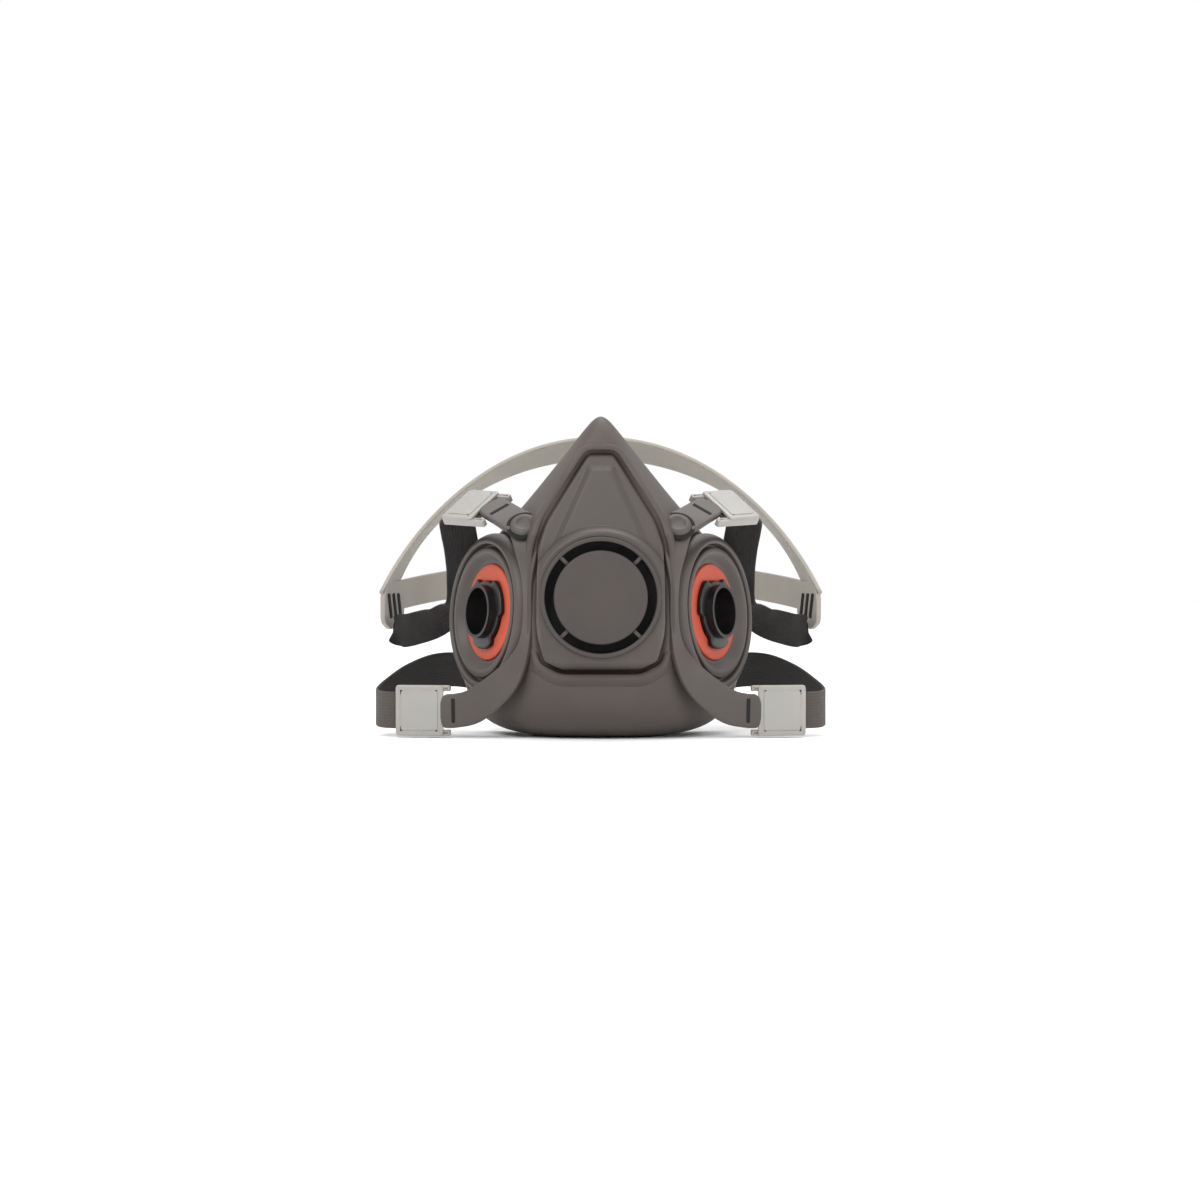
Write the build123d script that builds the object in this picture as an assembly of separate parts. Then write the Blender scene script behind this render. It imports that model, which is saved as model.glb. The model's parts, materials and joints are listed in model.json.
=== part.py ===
"""Reusable half-face respirator mask without its filters, with its head harness.

Frame: the mask stands on its chin on the floor, z = 0. It faces -Y, and left means -X, the left side seen
from the front. The origin is under the middle of the whole object.
"""
from build123d import *
from math import cos, pi, radians, sin
import os

# ---- driving dimensions (mm) ----
DEPTH_SHIFT = -5.0             # the whole object is 200 deep, and its middle lies here in the working frame

# facepiece levels: height, half width, front and back of the outer wall
FACE_LEVELS = [
    (0.0, 28.0, -62.0, -24.0),
    (7.0, 47.0, -77.0, -14.0),
    (22.0, 56.0, -85.0, -5.0),
    (46.0, 60.0, -84.0, 0.0),
    (66.0, 52.0, -81.0, -9.0),
    (82.0, 35.0, -77.0, -22.0),
    (104.0, 17.5, -68.0, -40.0),
    (126.0, 3.5, -57.0, -50.0),
]
# plan outline of a level: share of the half width, share of the way from back to front
FACE_OUTLINE = [(1.0, 0.0), (0.96, 0.20), (0.71, 0.52), (0.43, 0.90)]
FACE_WALL = 3.5
SEAL_LIP = 7.0                 # how far the face seal turns in

# front housing: half widths of its outline at heights
HOUSING_OUTLINE = [(5.0, 111.5), (21.5, 85.0), (24.5, 75.0), (25.0, 42.0), (22.0, 31.0), (15.0, 27.5)]
HOUSING_BACK = -80.0
HOUSING_THICK = 5.0
HOUSING_BEND = 74.0            # height where the housing starts to lean back
HOUSING_TOP_BACK = -63.0       # its back face at the top of the outline
VALVE_HEIGHT = 55.6            # axis of the exhalation valve
BOSS_RADIUS = 27.0
BOSS_FRONT = -92.0
BOSS_BORE = 23.58
SEAT_RADIUS = 16.9
SEAT_OPENING = 12.5
COVER_RADIUS = 23.5
COVER_DISC = 18.2
COVER_SLOT = 21.7
COVER_SPOKE = 1.4
FLAP_THICK = 0.6
POST_RADIUS = 1.1
POST_HOLE = 1.17

# inhalation ports: left port centre on the gasket face, and its outward direction
PORT_CENTRE = (-45.5, -44.0, 49.0)
PORT_FACING = (-0.873, -0.483, 0.07)
PORT_SEAT = -4.0               # depth of the facepiece seat under the gasket face
PORT_INNER = -10.0             # inner face of the facepiece round the port
SHELL_RADIUS = 32.0
SHELL_DISH = 23.6
GASKET_RADIUS = 19.4
GASKET_HOLE = 12.4
TUBE_RADIUS = 12.0
COLLAR_RADIUS = 10.8
COLLAR_BORE = 9.5
COLLAR_FRONT = 5.0
LUG_RADIUS = 14.3
INHALE_FLAP_RADIUS = 8.9
RETAINER_RADIUS = 16.0

# yoke band: width, middle line and outward direction at each station, top to bottom, left side
YOKE_WIDTH = 13.5
YOKE_WIDTHS = [13.5, 13.5, 13.0, 9.5, 6.5, 6.5, 8.5, 12.0, 13.5, 13.5]
YOKE_THICK = 2.2
YOKE_STATIONS = [
    ((-39.3, -62.8, 88.7), (0.0, -0.62, 0.78)),
    ((-34.8, -66.8, 86.0), (-0.02, -0.64, 0.76)),
    ((-30.0, -71.0, 82.5), (-0.10, -0.72, 0.68)),
    ((-28.6, -77.0, 72.0), (-0.50, -0.80, 0.30)),
    ((-28.2, -77.4, 60.0), (-0.84, -0.54, 0.05)),
    ((-28.2, -77.4, 46.0), (-0.86, -0.51, 0.0)),
    ((-30.4, -77.6, 34.0), (-0.84, -0.54, -0.10)),
    ((-37.5, -75.0, 22.5), (-0.68, -0.72, -0.16)),
    ((-49.0, -69.0, 13.0), (-0.50, -0.86, -0.08)),
    ((-57.2, -65.8, 10.5), (-0.30, -0.95, 0.0)),
]
EYE_RADIUS = 2.4
PIN_RADIUS = 1.2
PIN_HOLE = 1.26
STUD_RADIUS = 5.4

# buckles
BUCKLE_WIDTH = 20.0
BUCKLE_LENGTH = 19.0
BUCKLE_THICK = 3.2
BUCKLE_RAIL = 3.0
BUCKLE_BAR = 3.0
UPPER_PIN = (-42.0, -60.5, 90.3)
UPPER_PIN_ALONG = (0.56, 0.62, 0.55)
UPPER_BUCKLE_RUN = (-0.75, 0.62, 0.05)
LOWER_PIN = (-60.8, -64.7, 10.4)
LOWER_BUCKLE_RUN = (-0.985, 0.17, 0.0)

# head cradle
CRADLE_HALF_WIDTH = 91.5
CRADLE_CORNER = (26.0, 53.0)   # depth and height of the corner
CROWN_RISE = 75.5
CROWN_LEAN = radians(30)
CROWN_START = 0.33             # angle at which each arc of the cradle starts from its corner
CROWN_WIDTH = 15.0
REAR_DEPTH = 77.0
REAR_CLIMB = 10.0              # rise of the rear band from its corners to the middle
REAR_START = 0.50
REAR_WIDTH = 12.5
CRADLE_THICK = 1.8
CRADLE_SPANS = 24
PEG_LENGTH = 4.0
CORNER_PLACE = Pos(-88.6, 29.5, 52.0) * Rot(0, 0, 62)

# straps
STRAP_WIDTH = 15.0
STRAP_THICK = 1.4
UPPER_STRAP = [
    ((-57.8, -42.6, 87.2), (-0.25, -0.10, 0.96)),
    ((-57.8, -35.0, 82.5), (-0.25, 0.35, 0.90)),
    ((-57.0, -22.0, 74.5), (-0.30, 0.45, 0.84)),
    ((-57.0, -4.0, 63.5), (-0.30, 0.75, 0.58)),
    ((-59.0, 9.0, 51.5), (-0.50, 0.84, 0.20)),
    ((-67.5, 15.5, 44.5), (-0.62, 0.78, 0.05)),
    ((-79.0, 20.5, 40.5), (-0.60, 0.80, 0.0)),
    ((-86.5, 24.6, 39.0), (-0.60, 0.80, 0.0)),
]
LOWER_STRAP = [
    ((-80.4, -61.0, 10.4), (-0.17, -0.98, 0.0)),
    ((-86.5, -56.5, 10.6), (-0.70, -0.70, 0.0)),
    ((-89.5, -47.0, 11.5), (-1.0, 0.0, 0.0)),
    ((-87.0, -33.0, 14.5), (-0.96, 0.25, 0.05)),
    ((-79.0, -14.0, 20.0), (-0.88, 0.46, 0.08)),
    ((-68.0, 6.0, 23.5), (-0.85, 0.52, 0.05)),
    ((-55.0, 28.0, 22.0), (-0.82, 0.56, 0.0)),
    ((-40.0, 48.0, 15.0), (-0.72, 0.69, 0.0)),
    ((-22.0, 62.0, 8.6), (-0.50, 0.86, 0.0)),
    ((-9.0, 66.6, 8.0), (-0.10, 0.99, 0.0)),
]
CLIP_THICK = 3.0
CLIP_PLACE = 69.4
CLIP_HEIGHT = 15.6
CURVE_STEPS = 5

SHIFT = Pos(0, DEPTH_SHIFT, 0)


def tube(outer, inner, low, high):
    """Ring or disc about Z between two heights."""
    body = Pos(0, 0, (low + high) / 2) * Cylinder(outer, high - low)
    if inner > 0:
        body -= Pos(0, 0, (low + high) / 2) * Cylinder(inner, (high - low) * 1.2)
    return body


def spokes(count, turn, length, width, low, high):
    """Bars through the axis, evenly turned."""
    bar = Pos(0, 0, (low + high) / 2) * Box(2 * length, width, high - low)
    return Part() + [Rot(0, 0, turn + i * 180 / count) * bar for i in range(count)]


def smooth(stations, steps):
    """Catmull-Rom curve through the stations."""
    points = [Vector(*p) for p in stations]
    padded = [points[0] * 2 - points[1]] + points + [points[-1] * 2 - points[-2]]
    curve = []
    for a, b, c, d in zip(padded, padded[1:], padded[2:], padded[3:]):
        for step in range(steps):
            t = step / steps
            curve.append((b * 2 + (c - a) * t + (a * 2 - b * 5 + c * 4 - d) * t ** 2
                          + (b * 3 - a - c * 3 + d) * t ** 3) * 0.5)
    return curve + [points[-1]]


def strip(stations, widths, thick, steps=CURVE_STEPS):
    """Flat band along a smooth middle line; each station holds a point and the way the band faces there."""
    line = smooth([point for point, facing in stations], steps)
    facings = smooth([facing for point, facing in stations], steps)
    spans = smooth([(width, 0, 0) for width in widths], steps)
    rings = []
    for i, (point, facing) in enumerate(zip(line, facings)):
        ahead = line[min(i + 1, len(line) - 1)] - line[max(i - 1, 0)]
        across = facing.cross(ahead).normalized()
        out = ahead.cross(across).normalized() * (thick / 2)
        side = across * (spans[i].X / 2)
        rings.append([point + side + out, point - side + out, point - side - out, point + side - out])
    faces = [Face(Wire.make_polygon(rings[0])), Face(Wire.make_polygon(rings[-1]))]
    for near, far in zip(rings, rings[1:]):
        for k in range(4):
            a, b = near[k], near[(k + 1) % 4]
            c, d = far[(k + 1) % 4], far[k]
            faces.append(Face(Wire.make_polygon([a, b, c])))
            faces.append(Face(Wire.make_polygon([a, c, d])))
    return Part() + Solid(Shell(faces))


def both_sides(shape):
    return {"left": shape, "right": mirror(shape, Plane.YZ)}


# ---- frames ----
PORT = Plane(origin=PORT_CENTRE, x_dir=(0.484, -0.875, 0.0), z_dir=PORT_FACING).location
VALVE = Plane(origin=(0, 0, VALVE_HEIGHT), x_dir=(1, 0, 0), z_dir=(0, -1, 0)).location


# ---- front housing ----
def housing_prism(front_gap, back_gap, grow):
    """The housing's outline as a leaning slab; the gaps move its front and back faces forward."""
    right = [(half + grow, height) for half, height in HOUSING_OUTLINE]
    left = [(-half, height) for half, height in reversed(right)]
    outline = extrude(Plane.XZ * make_face(Polyline(*right, *left, close=True)), 200, both=True)
    lean = (HOUSING_TOP_BACK - HOUSING_BACK) / (HOUSING_OUTLINE[0][1] - HOUSING_BEND)
    low, high = 0.0, 120.0
    top = HOUSING_BACK + lean * (high - HOUSING_BEND)
    back, front = back_gap, front_gap
    side = Polyline(
        (HOUSING_BACK - back, low), (HOUSING_BACK - back, HOUSING_BEND), (top - back, high),
        (top - front, high), (HOUSING_BACK - front, HOUSING_BEND), (HOUSING_BACK - front, low), close=True)
    slab = extrude(Plane.YZ * make_face(side), 60, both=True)
    return outline & slab


def front_housing():
    body = housing_prism(HOUSING_THICK, 0, 0)
    plateau = housing_prism(HOUSING_THICK + 1.6, HOUSING_THICK, -4.5)
    boss = VALVE * tube(BOSS_RADIUS, 0, -HOUSING_BACK, -BOSS_FRONT)
    body = body + plateau + (boss & Pos(0, 0, 56) * Box(49, 300, 90))
    body -= VALVE * tube(BOSS_BORE, 0, 84.0, 120.0)
    body -= VALVE * tube(SEAT_RADIUS + 0.05, 0, 70.0, 90.0)
    return body


# ---- exhalation valve ----
def exhalation_valve_seat():
    body = tube(SEAT_RADIUS, SEAT_OPENING, 77.5, 86.0) + tube(BOSS_BORE - 0.3, SEAT_OPENING, 84.0, 86.0)
    body += spokes(2, 0, SEAT_OPENING + 0.5, 1.6, 83.0, 85.4) + tube(3.0, 0, 83.0, 86.0)
    body += tube(POST_RADIUS, 0, 85.0, 89.4) + tube(2.0, 0, 88.8, 89.4)
    return VALVE * body


def exhalation_valve_flap():
    return VALVE * tube(14.6, POST_HOLE, 86.02, 86.02 + FLAP_THICK)


def valve_cover():
    ring = tube(COVER_RADIUS, COVER_SLOT, 86.2, 93.4)
    disc = tube(COVER_DISC, 0, 91.4, 93.6) + tube(COVER_DISC - 2.5, 0, 93.0, 94.0)
    return VALVE * (ring + disc + spokes(2, 45, COVER_SLOT + 0.5, COVER_SPOKE, 91.4, 93.2))


# ---- inhalation port, left side ----
def port_shell():
    profile = Polyline(
        (19.5, PORT_SEAT), (SHELL_RADIUS - 0.6, PORT_SEAT), (SHELL_RADIUS, -1.5), (SHELL_RADIUS - 2.0, 1.8),
        (SHELL_RADIUS - 5.0, 3.0), (SHELL_DISH, 2.2), (20.4, -0.4), (19.5, -0.6), close=True)
    return PORT * revolve(Plane.XZ * make_face(profile), Axis.Z)


def bayonet_connector():
    body = tube(GASKET_RADIUS, COLLAR_BORE, PORT_SEAT, -3.0)
    body += tube(TUBE_RADIUS, COLLAR_BORE, -12.0, -3.0) + tube(COLLAR_RADIUS, COLLAR_BORE, -3.0, COLLAR_FRONT)
    lugs = tube(LUG_RADIUS, COLLAR_BORE + 0.5, 0.1, 1.9)
    sector = make_face(Polyline((0, 0), (30, -10), (30, 10), close=True))
    wedge = extrude(sector, 4)
    body += Part() + [lugs & Rot(0, 0, 30 + 120 * i) * wedge for i in range(3)]
    body += tube(COLLAR_BORE + 0.2, 8.0, -7.0, -6.0) + spokes(3, 30, COLLAR_BORE, 1.3, -7.0, -6.0)
    body += tube(2.2, 0, -7.0, -6.0) + tube(POST_RADIUS, 0, -9.9, -6.8) + tube(2.0, 0, -9.9, -9.4)
    return PORT * body


def inhalation_gasket():
    return PORT * tube(GASKET_RADIUS, GASKET_HOLE, -3.0, 0.0)


def inhalation_flap():
    return PORT * tube(INHALE_FLAP_RADIUS, POST_HOLE, -7.02 - FLAP_THICK, -7.02)


def retaining_ring():
    return PORT * tube(RETAINER_RADIUS, TUBE_RADIUS, -12.2, PORT_INNER)


# ---- facepiece ----
def face_loft(levels):
    sections = []
    for height, half, front, back in levels:
        right = [(half * u, back - (back - front) * v) for u, v in FACE_OUTLINE]
        left = [(-x, y) for x, y in reversed(right)]
        wall = Spline(*right, (0, front), *left)
        sections.append(Pos(0, 0, height) * make_face(wall + Line(left[-1], right[0])))
    return loft(sections)


def facepiece():
    outer = face_loft(FACE_LEVELS)
    inner_levels = [(max(z, FACE_WALL) if z < 100 else z - 6, half * 0.9 - 2.0, front + FACE_WALL + 1, back - 3.0)
                    for z, half, front, back in FACE_LEVELS[:-1]]
    cavity = face_loft(inner_levels)
    opening_levels = [(z + (6 if z < 50 else -6), half - SEAL_LIP - 3, -50.0, back + 12)
                      for z, half, front, back in FACE_LEVELS[1:-1]]
    opening = face_loft(opening_levels)
    bed = housing_prism(0, -8, -0.3)
    port_boss = PORT * tube(30.0, 0, PORT_INNER, PORT_SEAT)
    body = outer + bed + port_boss + mirror(port_boss, Plane.YZ)
    body = body - cavity - opening
    inner_boss = PORT * (tube(20.0, 0, PORT_INNER, PORT_SEAT)
                         + tube(SHELL_RADIUS + 1.5, 20.0, PORT_SEAT - 2.5, PORT_SEAT))
    body += inner_boss + mirror(inner_boss, Plane.YZ)
    over = PORT * (tube(SHELL_RADIUS + 0.4, 0, PORT_SEAT, 30.0) + tube(TUBE_RADIUS, 0, -20.0, 0.0)
                   + tube(RETAINER_RADIUS + 0.1, 0, -16.0, PORT_INNER))
    body -= over + mirror(over, Plane.YZ)
    body -= housing_prism(40, 0, 0.3)
    body -= VALVE * tube(SEAT_RADIUS, 0, 60.0, 90.0)
    return body & Pos(0, -50, 64) * Box(130, 130, 128)


# ---- yoke and its stud, left side ----
def pin_frame(origin, along):
    """Local X runs along the pin."""
    across = Vector(*along).normalized()
    run = Vector(*UPPER_BUCKLE_RUN if along is UPPER_PIN_ALONG else LOWER_BUCKLE_RUN)
    facing = across.cross(run).normalized()
    return Plane(origin=origin, x_dir=across, z_dir=facing).location


UPPER_PIN_FRAME = pin_frame(UPPER_PIN, UPPER_PIN_ALONG)
LOWER_PIN_FRAME = pin_frame(LOWER_PIN, (0, 0, 1))


def pin_bar(radius, length):
    return Rot(0, 90, 0) * Cylinder(radius, length)


def yoke():
    body = strip(YOKE_STATIONS, YOKE_WIDTHS, YOKE_THICK)
    for frame in (UPPER_PIN_FRAME, LOWER_PIN_FRAME):
        body += frame * (pin_bar(EYE_RADIUS, YOKE_WIDTH - 0.6) + Pos(0, -2.5, 0) * Box(YOKE_WIDTH - 0.6, 5, 2))
    for frame in (UPPER_PIN_FRAME, LOWER_PIN_FRAME):
        body -= frame * pin_bar(PIN_HOLE, 40)
    return body


def yoke_stud():
    point, facing = YOKE_STATIONS[2]
    frame = Plane(origin=point, z_dir=facing).location
    head = Pos(0, 0, 2.2) * Cylinder(STUD_RADIUS, 2.2)
    return frame * (head + Pos(0, 0, -2.0) * Cylinder(2.2, 8.0))


# ---- buckles: pin, two rails and the ladder bars ----
def buckle():
    rail = Pos(0, BUCKLE_LENGTH / 2, 0) * Box(BUCKLE_RAIL, BUCKLE_LENGTH, BUCKLE_THICK)
    offset = (BUCKLE_WIDTH - BUCKLE_RAIL) / 2
    body = Pos(offset, 0, 0) * rail + Pos(-offset, 0, 0) * rail
    body += pin_bar(PIN_RADIUS, BUCKLE_WIDTH - 0.5)
    for place in (6.5, 12.0, 17.5):
        body += Pos(0, place, 0) * Box(BUCKLE_WIDTH - 0.5, BUCKLE_BAR, BUCKLE_THICK - 0.6)
    return body


# ---- head cradle ----
def arch(share, start):
    """Side and rise of a point of an arc that leaves its corner at an angle, each from 0 to 1."""
    angle = start + (pi - 2 * start) * share
    return -cos(angle) / cos(start), (sin(angle) - sin(start)) / (1 - sin(start))


def crown_station(share):
    """A point of the crown band: an arch in a plane that leans back."""
    side, rise = arch(share, CROWN_START)
    depth, height = CRADLE_CORNER
    point = (CRADLE_HALF_WIDTH * side, depth + CROWN_RISE * rise * sin(CROWN_LEAN),
             height + CROWN_RISE * rise * cos(CROWN_LEAN))
    return point, (side, 0.6 * rise ** 3 + 0.45 * (1 - rise) ** 2, 0.8 * rise + 0.02)


def rear_station(share):
    """A point of the rear band: an arch behind the corners that climbs a little."""
    side, rise = arch(share, REAR_START)
    depth, height = CRADLE_CORNER
    point = (CRADLE_HALF_WIDTH * side, depth + REAR_DEPTH * rise, height + REAR_CLIMB * rise)
    return point, (side, 0.5 + 0.5 * rise, 0.0)


def head_cradle():
    stations = [i / CRADLE_SPANS for i in range(CRADLE_SPANS + 1)]
    crown = strip([crown_station(s) for s in stations], [CROWN_WIDTH] * len(stations), CRADLE_THICK, 1)
    rear = strip([rear_station(s) for s in stations], [REAR_WIDTH] * len(stations), CRADLE_THICK, 1)
    corner = CORNER_PLACE * Box(16.0, CRADLE_THICK, 17.0)
    peg = cradle_peg()
    return crown + rear + corner + mirror(corner, Plane.YZ) - peg - mirror(peg, Plane.YZ)


def cradle_peg():
    return CORNER_PLACE * Pos(4.0, 1.5, 3.0) * Rot(90, 0, 0) * Cylinder(2.0, PEG_LENGTH)


# ---- neck clip ----
def neck_hook():
    plate = Pos(-5.2, CLIP_PLACE, 8.0) * Box(7.0, CLIP_THICK, CLIP_HEIGHT)
    return plate + Pos(-1.4, CLIP_PLACE, 8.0) * Box(2.0, CLIP_THICK, 8.0)


def neck_loop():
    plate = Pos(6.7, CLIP_PLACE, 8.0) * Box(10.0, CLIP_THICK, CLIP_HEIGHT)
    return plate - Pos(6.2, CLIP_PLACE, 8.0) * Box(5.0, 10, 9.0)


def build():
    shapes = {
        "facepiece": facepiece(),
        "front_housing": front_housing(),
        "exhalation_valve_seat": exhalation_valve_seat(),
        "exhalation_valve_flap": exhalation_valve_flap(),
        "valve_cover": valve_cover(),
        "head_cradle": head_cradle(),
        "neck_hook": neck_hook(),
        "neck_loop": neck_loop(),
    }
    paired = {
        "port_shell": port_shell(),
        "bayonet_connector": bayonet_connector(),
        "inhalation_gasket": inhalation_gasket(),
        "inhalation_flap": inhalation_flap(),
        "retaining_ring": retaining_ring(),
        "yoke": yoke() - yoke_stud() - front_housing(),
        "yoke_stud": yoke_stud(),
        "upper_buckle": UPPER_PIN_FRAME * buckle(),
        "lower_buckle": LOWER_PIN_FRAME * buckle(),
        "upper_strap": strip(UPPER_STRAP, [STRAP_WIDTH - 1] * len(UPPER_STRAP), STRAP_THICK),
        "lower_strap": strip(LOWER_STRAP, [STRAP_WIDTH - 1] * len(LOWER_STRAP), STRAP_THICK),
        "cradle_peg": cradle_peg(),
    }
    for name, shape in paired.items():
        for side, part in both_sides(shape).items():
            shapes[side + "_" + name] = part
    for side in ("left", "right"):
        shapes["facepiece"] -= shapes[side + "_yoke"] + shapes[side + "_yoke_stud"]
    return shapes


os.makedirs("parts", exist_ok=True)
for node, shape in build().items():
    export_step(SHIFT * shape, "parts/" + node + ".step")
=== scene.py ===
"""Half-face respirator mask: the visual pieces, finishes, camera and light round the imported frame.

Lengths in the tables are millimetres in the mask's working frame: it faces -Y, +Z is up, and the left side
seen from the front is -X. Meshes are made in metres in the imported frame.
"""
import json
from math import radians

import bpy
import numpy as np
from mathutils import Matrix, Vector


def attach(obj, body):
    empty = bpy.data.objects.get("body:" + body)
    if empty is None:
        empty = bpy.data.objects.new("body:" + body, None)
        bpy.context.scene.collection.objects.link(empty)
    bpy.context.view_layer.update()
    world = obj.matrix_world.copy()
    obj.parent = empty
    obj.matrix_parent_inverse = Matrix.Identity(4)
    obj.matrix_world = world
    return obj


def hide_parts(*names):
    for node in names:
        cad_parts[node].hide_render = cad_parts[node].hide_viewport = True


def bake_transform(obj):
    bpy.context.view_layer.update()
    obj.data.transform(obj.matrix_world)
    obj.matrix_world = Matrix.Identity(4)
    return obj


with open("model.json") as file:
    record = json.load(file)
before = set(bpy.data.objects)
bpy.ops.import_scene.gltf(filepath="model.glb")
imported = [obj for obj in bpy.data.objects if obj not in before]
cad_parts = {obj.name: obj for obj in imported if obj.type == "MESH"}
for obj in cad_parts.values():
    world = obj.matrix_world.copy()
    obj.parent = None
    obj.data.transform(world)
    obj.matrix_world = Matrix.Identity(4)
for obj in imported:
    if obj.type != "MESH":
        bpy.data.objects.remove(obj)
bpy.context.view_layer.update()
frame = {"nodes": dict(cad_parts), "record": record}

bl_info = {
    "name": "Half-face respirator mask",
    "version": (1, 0, 0),
    "blender": (4, 5, 0),
    "location": "3D View > Sidebar > Mask",
    "description": "Builds the soft, moulded and woven pieces of a half-face respirator round its frame",
    "category": "Add Mesh",
}

MM = 0.001
INLET = next(m for m in frame["record"]["mounts"] if m["name"] == "left_inlet")
PORT_CENTRE = np.array([-45.5, -44.0, 49.0])
SHIFT = np.array(INLET["pos_m"]) / MM - PORT_CENTRE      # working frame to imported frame
PORT_FACING = np.array(INLET["axis"])
VALVE_CENTRE = np.array([0.0, 0.0, 55.6])
MIRROR = np.array([-1.0, 1.0, 1.0])

# ---- shapes, left side given as positive distance from the middle plane ----
# Control net of the facepiece: each row runs from under the housing's edge, over the cheek, to the back of
# the seal and its turned-in lip. Rows go round from the nose to the chin.
FACE_NET = [
    [(0, -62, 109), (0, -66.5, 112.8), (0, -67.5, 115.5), (0, -63.5, 124), (0, -58.5, 128.6),
     (0, -53, 129.0), (0, -48.5, 126.5), (0, -46, 122), (0, -46.5, 115), (0, -49, 112)],
    [(2.5, -62, 108.8), (3.8, -66.3, 112.3), (5.4, -67.6, 114.2), (5.0, -64.8, 119.5), (5.0, -59.5, 123.2),
     (5.2, -54, 124), (5.3, -48.5, 122), (5.2, -45.5, 118.5), (3.5, -46.5, 112.5), (3, -49, 109.5)],
    [(3.5, -62, 108.5), (6.2, -66, 111.5), (8.9, -68.0, 112), (9.4, -66.3, 113), (9.9, -60, 116),
     (10.2, -54, 117.5), (10.2, -48, 117), (9.8, -44.5, 114.5), (6.5, -46, 109), (5.5, -49, 106.5)],
    [(11, -70, 97.5), (14.2, -73.0, 98.5), (17.0, -75.4, 98.8), (18.3, -73, 99), (22, -62, 99.5),
     (24.8, -51, 99.5), (25.3, -40, 98), (24.5, -35.5, 95), (19, -36, 92), (17, -40, 91)],
    [(19.5, -77, 84.5), (22.6, -79.0, 85), (25.2, -80.8, 85.5), (26.6, -78, 85.8), (30.5, -66, 86.5),
     (35, -52, 86.5), (38, -34, 85), (38, -26.5, 83), (31.5, -26, 81), (29.5, -30, 81)],
    [(22.5, -79, 70), (25.6, -80.0, 70), (27.6, -80.0, 70), (30, -75, 70), (36, -62, 70.5),
     (45, -43, 71), (51.5, -22, 70), (52.5, -11.5, 69), (45.5, -10.5, 67.5), (43, -15, 67)],
    [(22.5, -79, 49), (25.8, -80.2, 49), (27.8, -80.0, 49), (30.2, -75.5, 49), (38, -60, 49),
     (48.5, -40, 49), (58, -20, 49), (61.2, -5, 49), (53.5, -2, 49), (50, -7, 49)],
    [(19, -79, 33), (23.4, -81, 31.5), (26.4, -82.6, 30.3), (29.4, -79.5, 28.6), (38, -69, 25.5),
     (49, -49, 22.5), (57.5, -24, 23.5), (59.7, -9, 25.5), (52, -5.5, 27), (49, -10, 28)],
    [(12, -79, 31), (15.5, -81.5, 26.2), (17.8, -84.2, 23.8), (20.5, -83.2, 20.5), (29.5, -77, 11.5),
     (42, -62, 3.6), (50.5, -36, 2.6), (51.5, -19, 6.5), (44.5, -14.5, 12), (41.5, -19, 14)],
    [(6, -79, 31), (7, -81.7, 25.8), (7.6, -84.8, 23.2), (8.8, -84.2, 19.4), (14, -80, 8.0),
     (21, -68, -0.4), (28, -44, -1.0), (30, -28, 1.6), (26, -22, 7.5), (24, -26, 10)],
    [(0, -79, 31), (0, -81.7, 25.8), (0, -84.9, 23.1), (0, -84.4, 19.2), (0, -80.6, 7.4),
     (0, -69, -0.6), (0, -46, -1.2), (0, -30, 1.2), (0, -23, 7), (0, -27, 9.5)],
]
HOUSING_OUTLINE = [(5.0, 111.5), (21.5, 85.0), (24.5, 75.0), (25.0, 42.0), (22.0, 31.0), (15.0, 27.5)]
RIM_LEVELS = [27, 31, 37, 71, 79, 90, 112]       # height of the rim's top, from the plane y = 0
RIM_TOPS = [86.5, 84.5, 80.0, 80.0, 82.0, 77.4, 67.4]
RIM_REACH = 7.6
RIM_SINK = 0.4                                  # how far the rim's foot is sunk in the skin
# distance from the housing's edge, and share of the way down from the rim's top to its foot; a negative share
# is a drop in millimetres, and none is the rim's hidden back
RIM_SECTION = [(1.6, None), (1.6, -1.0), (1.8, -0.35), (2.2, -0.05), (3.9, 0.0), (4.3, 0.05), (4.6, 0.16),
               (5.6, 0.5), (RIM_REACH, 1.0), (RIM_REACH, None)]
YOKE_LINE = [
    ((-39.3, -62.8, 88.7), (0.0, -0.62, 0.78)),
    ((-34.8, -66.8, 86.0), (-0.02, -0.64, 0.76)),
    ((-30.0, -71.0, 82.5), (-0.10, -0.72, 0.68)),
    ((-28.6, -77.0, 72.0), (-0.50, -0.80, 0.30)),
    ((-28.2, -77.4, 60.0), (-0.84, -0.54, 0.05)),
    ((-28.2, -77.4, 46.0), (-0.86, -0.51, 0.0)),
    ((-30.4, -77.6, 34.0), (-0.84, -0.54, -0.10)),
    ((-37.5, -75.0, 22.5), (-0.68, -0.72, -0.16)),
    ((-49.0, -69.0, 13.0), (-0.50, -0.86, -0.08)),
    ((-57.2, -65.8, 10.5), (-0.30, -0.95, 0.0)),
]
YOKE_WIDTHS = [13.5, 13.5, 13.5, 13.0, 9.5, 6.5, 6.5, 8.5, 12.0, 13.5, 13.5, 13.5]
STUD_SEAT = YOKE_LINE[2]
UPPER_TAB = [((-44.6, -58.2, 91.8), (0.0, -0.62, 0.78))]
LOWER_TAB = [((-63.2, -65.2, 10.4), (-0.17, -0.98, 0.0))]
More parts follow.
